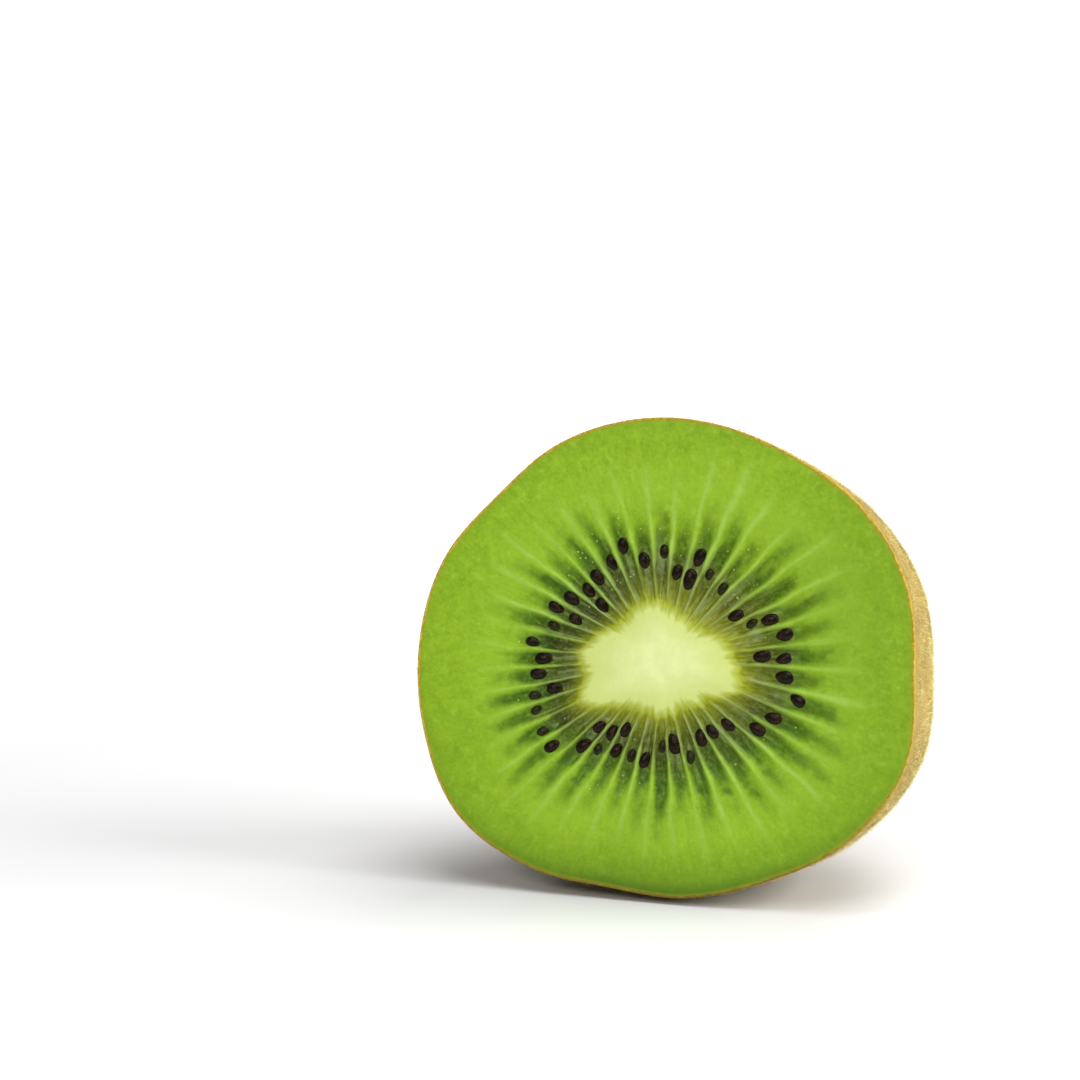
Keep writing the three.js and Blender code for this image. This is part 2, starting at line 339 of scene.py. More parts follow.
class Shader:
    """Builds one material's nodes, with sizes in mm. Most methods add a node and give its output socket."""

    def __init__(self, name, **uniform):
        self.material = bpy.data.materials.new(name)
        self.material.use_nodes = True
        self.tree = self.material.node_tree
        self.surface = self.tree.nodes["Principled BSDF"]
        self.finish(**uniform)

    def finish(self, **inputs):
        """Sets or links the surface's inputs and gives the material."""
        for key, value in inputs.items():
            join(self.tree, value, self.surface.inputs[key.replace("_", " ")])
        return self.material

    def node(self, kind, inputs, output=0, **settings):
        return add_node(self.tree, kind, inputs, output, **settings)

    def value(self, name):
        return self.node("ShaderNodeAttribute", {}, "Fac", attribute_name=name)

    def vector(self, name):
        return self.node("ShaderNodeAttribute", {}, "Vector", attribute_name=name)

    def position(self):
        return self.node("ShaderNodeTexCoord", {}, "Object")

    def noise(self, size, where=None, detail=2, low=0.3, high=0.7):
        """Noise from 0 to 1 with bumps of a size."""
        inputs = {"Vector": where or self.position(), "Scale": 1 / (size * MM), "Detail": detail}
        return self.spread(self.node("ShaderNodeTexNoise", inputs), low, high)

    def cells(self, size, feature="F1"):
        """The distance to the nearest cell's middle, or to the cells' borders."""
        inputs = {"Vector": self.position(), "Scale": 1 / (size * MM)}
        return self.node("ShaderNodeTexVoronoi", inputs, "Distance", feature=feature)

    def spread(self, value, low, high, to_low=0, to_high=1):
        limits = {"From Min": low, "From Max": high, "To Min": to_low, "To Max": to_high}
        return self.node("ShaderNodeMapRange", {"Value": value, **limits})

    def times(self, first, second):
        return self.node("ShaderNodeMath", {0: first, 1: second}, operation="MULTIPLY")

    def mix(self, share, first, second):
        inputs = {"Factor": share, MIX_FIRST: first, MIX_SECOND: second}
        return self.node("ShaderNodeMix", inputs, MIX_RESULT, data_type="RGBA")

    def tint(self, colour, strength, pattern, other):
        """The colour with another one mixed in where the pattern is, up to a strength."""
        return self.mix(self.times(pattern, strength), colour, other)

    def bump(self, height, distance, **below):
        return self.node("ShaderNodeBump", {"Height": height, "Distance": distance * MM, **below})


def firm_flesh(shader, mottle, grain, specks, fibre):
    """Mottled green, with darker and paler flecks, a haze round the chambers' ends, and painted shade."""
    colour = shader.mix(mottle, srgb(128, 167, 23), srgb(145, 184, 33))
    colour = shader.tint(colour, 0.6, grain, srgb(121, 160, 22))
    colour = shader.tint(colour, 0.4, specks, srgb(164, 202, 54))
    dots = shader.spread(shader.cells(1.1), 0.5, 0.15)
    dark_fleck = shader.times(dots, shader.noise(1.5, low=0.4, high=0.6))
    colour = shader.tint(colour, 0.32, dark_fleck, srgb(104, 146, 18))
    colour = shader.tint(colour, 0.3, shader.noise(0.8, low=0.6), srgb(172, 206, 84))
    haze = shader.times(shader.value("haze"), shader.spread(fibre, 0, 1, 0.6, 1))
    colour = shader.mix(haze, colour, srgb(155, 194, 50))
    # Painted shade: darker towards the face's edge, most along its lowest stretch and inside its right part.
    return shader.mix(shader.value("painted_shade"), colour, srgb(84, 120, 24))


def chambers_and_walls(shader, colour, reach, locule, specks):
    """The dark gel of the chambers, the olive band beside the core, and the pale walls over both."""
    threads = shader.noise(0.55, shader.vector("fibre"), detail=1)
    outward = shader.spread(reach, 0.35, 0.8)
    inner_gel = shader.mix(shader.times(threads, specks), srgb(38, 46, 8), srgb(106, 120, 56))
    outer_gel = shader.mix(shader.times(threads, specks), srgb(58, 92, 8), srgb(98, 140, 28))
    colour = shader.mix(locule, colour, shader.mix(outward, inner_gel, outer_gel))
    band = shader.mix(threads, srgb(136, 144, 20), srgb(174, 180, 42))
    colour = shader.mix(shader.value("olive"), colour, band)
    wall = shader.mix(outward, srgb(148, 162, 106), srgb(165, 203, 86))
    return shader.mix(shader.value("septum"), colour, wall)


def core_and_edges(shader, colour, mottle, grain):
    """The pale core, brightest in its middle, its yellow edge, and the rim of the flesh."""
    core = shader.mix(shader.value("heart"), srgb(208, 220, 130), srgb(230, 240, 172))
    core = shader.tint(core, 0.35, mottle, srgb(208, 220, 136))
    core = shader.tint(core, 0.15, grain, srgb(198, 210, 116))
    colour = shader.mix(shader.value("core"), colour, core)
    colour = shader.mix(shader.value("edge"), colour, srgb(170, 182, 48))
    return shader.mix(shader.value("rim"), colour, srgb(164, 158, 40))


def flesh_material():
    gloss = dict(IOR=1.36, Specular_IOR_Level=0.25)
    depth = dict(Subsurface_Weight=0.25, Subsurface_Scale=0.35 * MM, Subsurface_Radius=(1.0, 1.0, 0.2))
    shader = Shader("kiwi_flesh", **gloss, **depth)
    mottle = shader.noise(1.6, detail=4, low=0.35, high=0.65)
    grain = shader.noise(0.55, detail=3)
    specks = shader.noise(0.34)
    fibre = shader.noise(1, shader.vector("fibre"), detail=3)
    reach, locule = shader.value("reach"), shader.value("locule")
    colour = firm_flesh(shader, mottle, grain, specks, fibre)
    colour = chambers_and_walls(shader, colour, reach, locule, specks)
    colour = core_and_edges(shader, colour, mottle, grain)
    # The gel in the inner chambers is the wettest, and the core has the least relief.
    dull = shader.spread(shader.times(locule, shader.spread(reach, 0.9, 0.5)), 0, 1, 1, 0.5)
    rough = shader.times(dull, shader.spread(grain, 0, 1, 0.36, 0.52))
    ribs = shader.times(fibre, shader.spread(reach, 0, 0.3))
    grit = shader.times(grain, shader.spread(reach, -0.3, 0, 0.2, 1))
    relief = shader.bump(grit, 0.014, Normal=shader.bump(ribs, 0.05))
    return shader.finish(Base_Color=colour, Roughness=rough, Normal=relief)


def skin_material():
    shader = Shader("kiwi_skin", Subsurface_Weight=0.1, Subsurface_Scale=0.3 * MM, Specular_IOR_Level=0.2)
    patches = shader.noise(4, detail=4, low=0.35, high=0.65)
    specks = shader.noise(0.45, low=0.35, high=0.65)
    cut = shader.mix(specks, srgb(168, 142, 40), srgb(204, 176, 58))
    dry = shader.mix(specks, srgb(52, 36, 20), srgb(96, 68, 38))
    colour = shader.mix(patches, srgb(160, 146, 80), srgb(120, 114, 64))
    colour = shader.mix(specks, colour, srgb(152, 118, 50))
    colour = shader.mix(shader.value("cut"), colour, cut)
    # Painted shade on the lowest stretch of the cut's edge, by the floor.
    colour = shader.tint(colour, 0.8, shader.value("painted_shade_below"), srgb(98, 82, 26))
    colour = shader.mix(shader.value("dry"), colour, dry)
    rough = shader.spread(specks, 0, 1, 0.72, 0.9)
    return shader.finish(Base_Color=colour, Roughness=rough, Normal=shader.bump(specks, 0.08))


def fuzz_material(name, dark, pale):
    shader = Shader(name, Roughness=0.85, Specular_IOR_Level=0.25)
    return shader.finish(Base_Color=shader.mix(shader.value("shade"), srgb(*dark), srgb(*pale)))


def seed_material():
    """Black-brown, with brown patches that are partly the seeds' own colour and partly painted glints, a fine
    net of pits, and some seeds under a film of gel.
    """
    shader = Shader("kiwi_seed", IOR=1.42, Specular_IOR_Level=0.22, Specular_Tint=(1, 0.86, 0.7, 1))
    brown_and_glint_patch = shader.noise(0.5, low=0.54, high=0.74)
    pits = shader.cells(0.15, "DISTANCE_TO_EDGE")
    # Brown patches: partly the seeds' own brown, partly painted brown glints.
    colour = shader.mix(brown_and_glint_patch, srgb(15, 9, 5), srgb(60, 33, 14))
    colour = shader.tint(colour, 0.3, shader.spread(pits, 0.08, 0), srgb(54, 46, 28))
    film = shader.times(shader.value("veil"), shader.noise(0.6, low=0.35, high=0.5))
    colour = shader.mix(film, colour, srgb(44, 50, 22))
    rough = shader.spread(brown_and_glint_patch, 0, 1, 0.2, 0.36)
    return shader.finish(Base_Color=colour, Roughness=rough, Normal=shader.bump(pits, 0.02))


def glint_bead_material():
    shader = Shader("kiwi_juice_glints", Subsurface_Weight=0.4, Subsurface_Scale=0.2 * MM, IOR=1.36)
    # Pale green: partly the juice's own colour, partly painted glints on the wet gel.
    colour = shader.mix(shader.noise(0.3), srgb(130, 160, 70), srgb(180, 204, 120))
    return shader.finish(Base_Color=colour, Roughness=shader.spread(shader.noise(0.2), 0, 1, 0.08, 0.2))


def scale_material():
    shader = Shader("kiwi_stalk_scales", Specular_IOR_Level=0.3)
    colour = shader.mix(shader.noise(0.4), srgb(58, 40, 24), srgb(124, 92, 56))
    rough = shader.spread(shader.noise(0.25), 0, 1, 0.7, 0.9)
    return shader.finish(Base_Color=colour, Roughness=rough, Normal=shader.bump(shader.noise(0.2), 0.03))


# ------------------------------------------------------------------ the flesh
FACE_COLUMNS = 18  # points across each chamber
CORE_ROWS, LOCULE_ROWS, FIRM_ROWS, HIDDEN_ROWS = 18, 66, 36, 6  # rings of each zone, from the middle out
RIM_INSET, HIDDEN_INSET = 0.4, 1.2  # how far the flesh lies inside the fruit, as shares of SKIN
HIDDEN_SHORT = 1.1  # how much sooner its hidden end comes than the skin's
RIM_DIP = 0.02  # how far it sinks beside the skin
COLLAR = dict(height=0.2, sunken=0.3, width=0.45)  # the gel's climb round a seed, its width in seed radii
FIBRE = dict(across=22, along=0.5)  # stretches noise along the radius, to make fibres
FACE_EDGE = 27.5  # the radius that would fill the bake's disc

# How the face changes round the fruit.
CHAMBER_ENDS = [1.02, 1.08, 0.86, 0.9, 0.98, 1, 0.88, 1.1, 1, 1.08, 0.9, 1.12]  # how far out the gel lasts
CORE_TEETH = [0.6, 0.8, 0.7, 0.3, 0.2, 0.2, 0.1, 0.2, 0.5, 0.5, 0.5, 0.7]  # how far it runs along the walls
CORE_DRAWN_IN = [0.05, 0.4, 0.05, 0.35, 0.1, 0.35, 0, 0.45, 0.25, 0.05, 0.15, 0.1]
OLIVE_WIDTH = [2, 2.9, 2.8, 1.9, 1.4, 0.9, 0.7, 1, 1.5, 1.6, 1.5, 1.7]
# Painted shade of the face: its strength at the edge, and inside the right part past the chambers.
PAINTED_SHADE_AT_EDGE = [0.2, 0.2, 0, 0, 0, 0, 0, 0.3, 0.8, 1.15, 0.9, 0.5]
PAINTED_SHADE_INSIDE = [0.9, 1, 0.1, 0, 0, 0, 0, 0.2, 0, 0.3, 0.1, 0.7]


def flesh_rings(angles, rim_edge, from_wall):
    """Radius and depth of each ring of the flesh, from the middle of the cut to the hidden end."""
    core_edge, locule_edge = locule_ends(angles)
    floor = lerp(SEPTUM_DEPTH, LOCULE_DEPTH, smooth(0, FLOOR_SIDE, from_wall))
    rows = []
    for share in np.linspace(0.08, 1, CORE_ROWS):
        rows.append((core_edge * share, -CORE_RISE * (1 - share * share)))
    for share in np.linspace(0, 1, LOCULE_ROWS + 1)[1:]:
        rows.append((lerp(core_edge, locule_edge, share), locule_depth(share, floor)))
    for share in np.linspace(0, 1, FIRM_ROWS + 1)[1:]:
        rows.append((lerp(locule_edge, rim_edge - RIM_INSET * SKIN, share), RIM_DIP * smooth(0.96, 1, share)))
    for turn in np.radians(np.linspace(3, 88, HIDDEN_ROWS)):
        width, along = skin_section(turn)
        radius = (skin_radius(angles, along) - HIDDEN_INSET * SKIN) * width
        rows.append((radius, (HALF_LENGTH - HIDDEN_SHORT) * along))
    rows = [np.broadcast_arrays(radius, depth) for radius, depth in rows]
    return np.array([radius for radius, _ in rows]), np.array([depth for _, depth in rows])


def lay_out_flesh():
    """The points of the flesh, with where each lies among the core, the chambers, their walls and the rim."""
    places = np.arange(LOCULES * FACE_COLUMNS) / FACE_COLUMNS
    angles = locule_angle(places)
    core_edge, locule_edge = locule_ends(angles)
    rim_edge = rim_radius(angles)
    radius, depth = flesh_rings(angles, rim_edge, np.abs(places - np.round(places)))
    reach = (radius - core_edge) / (locule_edge - core_edge)  # 0 at the core's edge, 1 at the chambers' ends
    # The chambers' number and share, once their walls wander a little on the way out.
    wander = places + 0.06 * noise(radius / 2.8, places * 0.4, seed=2) * smooth(0, 0.4, reach)
    return SimpleNamespace(
        places=places,
        angles=angles,
        radius=radius,
        depth=depth,
        x=radius * np.cos(np.radians(angles)),
        y=radius * np.sin(np.radians(angles)),
        reach=reach,
        from_heart=radius / core_edge,
        past_core=radius - core_edge,
        from_rim=rim_edge - radius,
        wander=wander,
        chamber=np.floor(wander) % LOCULES,
        wall=np.round(wander) % LOCULES,
        from_wall=np.abs(wander - np.round(wander)),
        from_middle=np.abs(wander - np.floor(wander) - 0.5),
    )


def chamber_gel(at):
    """1 in the dark gel of the chambers, which narrow, fray and fade on their way out."""
    end = 1.04 * around(CHAMBER_ENDS, at.angles) + 0.13 * noise(at.chamber, seed=3)
    half = lerp(0.46, 0.3, smooth(0.3, 1.05, at.reach)) + 0.05 * noise(at.wander * 3, at.radius / 1.2, seed=4)
    soft = lerp(0.06, 0.18, smooth(0, 1, at.reach))
    inside = smooth(half + soft, half - soft, at.from_middle)
    streaks = noise(at.places * 3.4, at.radius / 3, seed=9)
    blots = noise(at.x / 0.7, at.y / 0.7, seed=23)
    ragged = 1.1 * np.square(at.from_middle) + 0.11 * streaks + 0.07 * blots
    fade = smooth(1.26, 0.68, at.reach / end + ragged)
    fade = fade * (1 - 0.35 * smooth(0, 0.9, streaks + 0.6 * blots) * smooth(0.45, 0.9, at.reach))
    return inside * fade * smooth(0, 0.06, at.reach) * (0.93 + 0.07 * noise(at.chamber, seed=8))


def pale_walls(at):
    """1 along the firmer walls, each of its own strength and length, and less on finer strands between."""
    distance = at.from_wall * np.radians(360 / LOCULES) * at.radius
    stout = 0.75 + 0.4 * noise(at.wall, seed=20)
    thick = 0.115 + stout * (0.05 * smooth(0.2, 0.7, at.reach) + 0.28 * smooth(0.7, 1.5, at.reach))
    strength = 0.58 + 0.3 * noise(at.wall, seed=5) + 0.06 * smooth(0.8, 1.2, at.reach)
    strength = strength * (0.9 + 0.3 * noise(at.x / 0.5, at.y / 0.5, seed=25))
    farthest = 1.42 + 0.22 * noise(at.wall, seed=6)
    walls = bell(distance / thick) * smooth(0, 0.12, at.reach)
    walls = walls * smooth(farthest + 0.12, farthest - 0.4, at.reach) * strength
    strands = noise(at.wander * 5.3, at.radius / 3.5, seed=21) + 0.25 * noise(at.x / 0.5, at.y / 0.5, seed=22)
    strands = 0.5 * smooth(0.3, 0.85, strands) * smooth(0, 0.12, at.reach) * smooth(0.9, 0.35, at.reach)
    return np.maximum(walls, strands)


def pale_core(at):
    """1 in the core, whose edge is feathered and runs out in teeth along the walls."""
    tooth = bell(at.from_wall / 0.34) * (0.45 + 0.5 * noise(at.wall, seed=18)) - 0.25
    feather = 0.24 * noise(at.places * 2.6, seed=7) + 0.2 * noise(at.places * 6, at.radius / 1.6, seed=24)
    teeth = around(CORE_TEETH, at.angles) * tooth + feather
    teeth = teeth + 0.15 * noise(at.x / 0.4, at.y / 0.4, seed=19) - around(CORE_DRAWN_IN, at.angles)
    return smooth(0.7, -0.65, at.past_core - teeth)


def olive_band(at):
    """1 at the core's edge, fading outwards."""
    fade = np.exp(-np.clip(at.past_core - 0.2, 0, None) / around(OLIVE_WIDTH, at.angles))
    return fade * smooth(-1.7, -1.3, at.past_core)


def painted_shade(at):
    """How much painted shade darkens the face towards its edge, mostly at its lowest stretch, and inside its
    right part.
    """
    at_edge = 0.5 * smooth(6, 0, at.from_rim) + 0.35 * smooth(2, 0, at.from_rim)
    inside = 0.2 * around(PAINTED_SHADE_INSIDE, at.angles) * smooth(0.85, 1.1, at.reach) * smooth(0.5, 4, at.from_rim)
    shade = around(PAINTED_SHADE_AT_EDGE, at.angles) * at_edge + 0.1 * smooth(2.5, 0, at.from_rim) + inside
    return np.clip(shade, 0, 1)


def gel_collars(at, seeds):
    """How far the gel climbs up round the seeds."""
    rise = np.zeros_like(at.x)
    for radius, degrees, _, size, turn, sunken in seeds:
        angle = np.radians(degrees)
        aside_x, aside_y = at.x - radius * np.cos(angle), at.y - radius * np.sin(angle)
        along = aside_x * np.cos(angle + turn) + aside_y * np.sin(angle + turn)
        across = aside_y * np.cos(angle + turn) - aside_x * np.sin(angle + turn)
        distance = np.hypot(along / SEED["length"], across / SEED["width"]) * 2 / size
        height = COLLAR["sunken" if sunken else "height"]
        rise = np.maximum(rise, height * bell((distance - 1) / COLLAR["width"]))
    return rise


def make_flesh(seeds):
    at = lay_out_flesh()
    core, locule = pale_core(at), chamber_gel(at)
    turn = np.radians(at.angles + 0 * at.radius)
    fibre = [np.cos(turn) * FIBRE["across"], np.sin(turn) * FIBRE["across"], at.radius * FIBRE["along"]]
    values = {
        "reach": at.reach,
        "core": core,
        "edge": 2 * core * (1 - core),
        "olive": 0.95 * olive_band(at),
        "locule": locule,
        "septum": pale_walls(at),
        "haze": 0.55 * bell((at.reach - 1.2) / 0.3),
        "heart": smooth(0.95, 0.2, at.from_heart),
        # Painted shade towards the face's edge.
        "painted_shade": painted_shade(at),
        "rim": 0.8 * smooth(0.55, 0.15, at.from_rim),
        "fibre": np.stack(fibre, -1) * MM,
    }
    ripples = 0.02 * noise(at.x / 0.9, at.y / 0.9, seed=10)
    ripples = ripples + 0.03 * noise(at.x / 0.35, at.y / 0.35, seed=11) * locule
    relief = ripples - gel_collars(at, seeds) * smooth(0, 0.1, at.reach)
    relief[-HIDDEN_ROWS:] = 0
    points = place_in_frame(at.radius, at.angles, at.depth + relief)
    faces = stack_faces(*at.radius.shape)
    face_spread = at.radius[:-HIDDEN_ROWS].mean(1) / FACE_EDGE
    spread = np.concatenate([face_spread, np.linspace(0.975, 1, HIDDEN_ROWS)])
    layout = disc_layout(spread, len(at.places), faces)
    values = {key: with_ends(data) for key, data in values.items()}
    add_piece("flesh", with_ends(points), faces, flesh_material(), layout, values)


# ------------------------------------------------------------------ the skin
SKIN_COLUMNS = 480
INSIDE_ROWS, OUTSIDE_ROWS, SCAR_ROWS = 6, 104, 30
INSIDE_SHORT = 0.9  # how much sooner the skin's hidden inside ends than its outside
# The cut edge's rings: how far in, as a share of SKIN, how deep, as a share of LIP, and how much cut shows.
LIP = 0.05
CUT_ROWS = [(1.9, 1.5, 1), (1.25, 0.2, 1), (0.8, -0.6, 1), (0.45, -0.8, 1), (0.12, -0.3, 0.7), (0, 1.2, 0.3)]
SCAR_EDGE = 6.4  # where the scar's own rings begin
DRY_SCAR = dict(edge=4.8, whole=2.5, cracks=0.25)
INSIDE_STEP = 0.2  # width of the hidden inside's rings in the bake's disc
# Where painted shade darkens the cut's edge and the fuzz beside it, most where the edge is lowest, by the
# floor.
SHADED_UNDERNEATH = [0, 0, 0, 0, 0, 0, 0, 0.3, 0.8, 1, 0.9, 0.4]  # 1 where the cut's edge is lowest and dark


def shaded_underneath(degrees):
    return around(SHADED_UNDERNEATH, degrees)


def skin_rings(degrees, ragged):
    """Radius, depth, how cut and how dry: the rings of the inside, the cut edge, the flanks and the scar."""
    rows = []
    for turn in np.radians(np.linspace(88, 4, INSIDE_ROWS)):
        width, along = skin_section(turn)
        radius = (skin_radius(degrees, along) - SKIN) * width
        rows.append((radius, (HALF_LENGTH - INSIDE_SHORT) * along, 0, 0))
    for inset, deep, cut in CUT_ROWS:
        radius = rim_radius(degrees) - SKIN * inset + ragged * (inset > 0.4)
        rows.append((radius, LIP * deep + 0.2 * ragged, cut, 0))
    for turn in np.radians(np.linspace(0.8, 80, OUTSIDE_ROWS)):
        width, along = skin_section(turn)
        radius = skin_radius(degrees, along) * width
        rows.append((radius, HALF_LENGTH * along + scar_height(radius, degrees), 0, 0))
    for share in np.linspace(0.97, 0.03, SCAR_ROWS):
        radius = SCAR_EDGE * share
        depth = HALF_LENGTH * (1 - (radius / MEAN_RADIUS) ** SHOULDER) ** (1 / SHOULDER)
        dry = smooth(DRY_SCAR["edge"], DRY_SCAR["whole"], radius)
        rows.append((radius, depth + scar_height(radius, degrees), 0, dry))
    rows = [[np.broadcast_to(value, degrees.shape) for value in row] for row in rows]
    return [np.array([row[k] for row in rows], float) for k in range(4)]


def skin_spread(radius, depth):
    """Lays the rings out from the scar, in the middle, to the hidden inside, as narrow rings at the edge."""
    step = np.hypot(np.diff(radius.mean(1)), np.diff(depth.mean(1)))
    step[:INSIDE_ROWS] = INSIDE_STEP
    return (np.append(np.cumsum(step[::-1])[::-1], 0) + INSIDE_STEP) / (step.sum() + INSIDE_STEP)


def make_skin():
    degrees = np.arange(SKIN_COLUMNS) * 360 / SKIN_COLUMNS
    ragged = 0.07 * noise(degrees / 2.3, seed=12) + 0.05 * noise(degrees / 0.9, seed=13)
    radius, depth, cut, dry = skin_rings(degrees, ragged)
    x, y = radius * np.cos(np.radians(degrees)), radius * np.sin(np.radians(degrees))
    lumps = 0.07 * noise(x / 5, y / 5, depth / 5, seed=14)
    lumps = lumps + 0.04 * noise(x / 0.7, y / 0.7, depth / 0.7, seed=15)
    lumps[: INSIDE_ROWS + len(CUT_ROWS)] = 0
    cracks = DRY_SCAR["cracks"] * dry * noise(x / 0.5, y / 0.5, seed=16)
    radius = radius + lumps
    points = place_in_frame(radius, degrees, depth + cracks)
    faces = stack_faces(*radius.shape)
    layout = disc_layout(skin_spread(radius, depth), SKIN_COLUMNS, faces)
    # Painted shade where the cut's edge is lowest.
    painted_shade_below = shaded_underneath(degrees) * smooth(1.2, 0.4, depth)
    values = {"cut": with_ends(cut), "dry": with_ends(dry), "painted_shade_below": with_ends(painted_shade_below)}
    add_piece("skin", with_ends(points), faces, skin_material(), layout, values)


# ------------------------------------------------------------------ the seeds and the juice
BEADS = 140
BEAD_CHAMBERS = (3, 13)  # above the core, where the photo shows most: half of the beads are put there


def seed_places():
    """Each seed's distance to the axis, angle, depth, size, turn and whether it is sunken."""
    rng = np.random.default_rng(21)
    laid = [(radius, chamber) for chamber, radii in enumerate(SEEDS) for radius in radii]
    places = []
    for number, (radius, chamber) in enumerate(laid):
        stray = (number + 1) * GOLDEN % 1 - 0.5
        degrees = float(locule_angle(np.array(chamber + 0.5 + SEED_SWAY * stray)))
        core_edge, locule_edge = locule_ends(degrees)
        share = (radius - core_edge) / (locule_edge - core_edge)
        depth = float(LOCULE_DEPTH * np.sin(np.pi * share) ** STEEP - SEED["lift"])
        size = rng.uniform(0.9, 1.1) * (BIG_SIZE if number in BIG_SEEDS else 1)
        turn = np.radians(rng.uniform(-16, 16))
        sunken = number in SUNKEN_SEEDS
        if sunken:
            depth, size = depth + SUNKEN["deeper"], size * SUNKEN["size"]
        places.append((radius, degrees, depth, size, turn, sunken))
    return places


def make_seeds(seeds):
    points, faces, layout = ball(14, 20)
    shapes = []
    for number, (radius, degrees, depth, size, turn, _) in enumerate(seeds):
        u, v, w = points.T
        breadth = 1 + SEED["taper"] * u
        dents = 1 + 0.03 * noise(u * 2.5, v * 2.5 + 9 * number, w * 2.5, seed=17)
        u = u * SEED["length"] / 2 * size * dents
        v = v * breadth * SEED["width"] / 2 * size * dents
        w = w * breadth * SEED["thickness"] / 2 * dents
        angle = np.radians(degrees)
        along, across = u * np.cos(turn) - v * np.sin(turn), u * np.sin(turn) + v * np.cos(turn)
        x = (radius + along) * np.cos(angle) - across * np.sin(angle)
        y = (radius + along) * np.sin(angle) + across * np.cos(angle)
        shapes.append(place_from_sides(x, y, depth + w))
    veil = np.repeat([SUNKEN["veil"] * sunken for *_, sunken in seeds], len(points))
    points, faces, layout = many(shapes, faces, layout)
    add_piece("seeds", points, faces, seed_material(), layout, {"veil": veil})


def make_beads():
    """Tiny drops of juice in the chambers, half sunk in the gel, glossy and coloured pale so that they also
    stand in for glints on the wet gel: painted highlights.
    """
    rng = np.random.default_rng(22)
    points, faces, layout = ball(5, 8)
    shapes = []
    for number in range(BEADS):
        place = rng.uniform(*BEAD_CHAMBERS) if number % 2 else rng.uniform(0, LOCULES)
        degrees = float(locule_angle(np.array(np.floor(place) + rng.uniform(0.2, 0.8))))
        share = rng.uniform(0.3, 0.95)
        radius = lerp(*locule_ends(degrees), share)
        size = rng.uniform(0.04, 0.12)
        depth = locule_depth(share, LOCULE_DEPTH) + (0.8 * points[:, 2] - 0.3) * size
        x = radius * np.cos(np.radians(degrees)) + points[:, 0] * size
        y = radius * np.sin(np.radians(degrees)) + points[:, 1] * size
        shapes.append(place_from_sides(x, y, depth))
    points, faces, layout = many(shapes, faces, layout)
    add_piece("juice_glint_beads", points, faces, glint_bead_material(), layout)


# ------------------------------------------------------------------ the fuzz and the stalk's scales
FUZZ = [  # layers of hairs: how many before the floor and the scar take some, how steep, and their colours
    dict(name="fuzz_under", seed=41, count=49500, length=0.5, thickness=0.07, lift=0.4,
         dark=(140, 119, 58), pale=(208, 189, 110)),
    dict(name="fuzz_over", seed=42, count=49500, length=0.65, thickness=0.055, lift=0.5,
         dark=(158, 137, 70), pale=(226, 211, 134)),
    dict(name="fuzz_tips", seed=43, count=18000, length=0.85, thickness=0.035, lift=0.95,
         dark=(196, 174, 106), pale=(242, 231, 178)),
]
TUFT, MOTTLE = 0.7, 2.6  # how wide the tufts and the paler and darker patches are
ROOTED = 0.06  # how deep the hairs are rooted
BARE_SCAR = 3.4  # radius round the stub that has no hairs
SCALES = 13


def skin_spot(degrees, along):
    """A spot on the skin and its distance to the fruit's axis."""
    radius = skin_radius(degrees, along) * (1 - along**SHOULDER) ** (1 / SHOULDER)
    return place_in_frame(radius, degrees, HALF_LENGTH * along + scar_height(radius, degrees)), radius


def hair_spots(rng, count):
    """Angles and shares of the fruit's length, with fewer spots towards the end, where the fruit narrows."""
    turn = rng.uniform(0, np.pi / 2, 3 * count)
    turn = turn[rng.uniform(0, 1, 3 * count) < np.cos(turn) ** 0.75][:count]
    return rng.uniform(0, 360, len(turn)), np.sin(turn) ** (2 / SHOULDER)


def hair_spikes(rng, degrees, along, length, thickness, lift):
    """Each hair's three base points and tip, how tufted it is, and whether it is clear of floor and scar."""
    root, radius = skin_spot(degrees, along)
    round_way = unit(skin_spot(degrees + 0.2, along)[0] - root)
    end_way = unit(skin_spot(degrees, np.minimum(along + 0.002, 0.9999))[0] - root)
    normal = unit(np.cross(end_way, round_way))
    x, y, z = (root / (TUFT * MM)).T
    tuft = noise(x, y, z, seed=31)
    heading = 1.6 * noise(x * 0.6, y * 0.6, z * 0.6, seed=32) + rng.normal(0, 0.35, len(root))
    lay = np.cos(heading)[:, None] * end_way + np.sin(heading)[:, None] * round_way
    rise = np.clip(lift + 0.3 * tuft + rng.normal(0, 0.15, len(root)), 0.15, 1.5)[:, None]
    hair = unit(lay + normal * rise)
    size = (length * rng.uniform(0.6, 1.25, len(root)) * (1 + 0.25 * tuft))[:, None] * MM
    half = (thickness / 2 * rng.uniform(0.75, 1.2, len(root)))[:, None] * MM
    side = unit(np.cross(hair, normal + 0.01))
    other = np.cross(hair, side)
    root = root - normal * ROOTED * MM
    base = [root + half * (np.cos(a) * side + np.sin(a) * other) for a in np.radians((0, 120, 240))]
    spikes = np.stack([*base, root + hair * size], 1)
    return spikes, tuft, (spikes[..., 2].min(1) > 0) & (radius > BARE_SCAR + 0.8 * tuft)


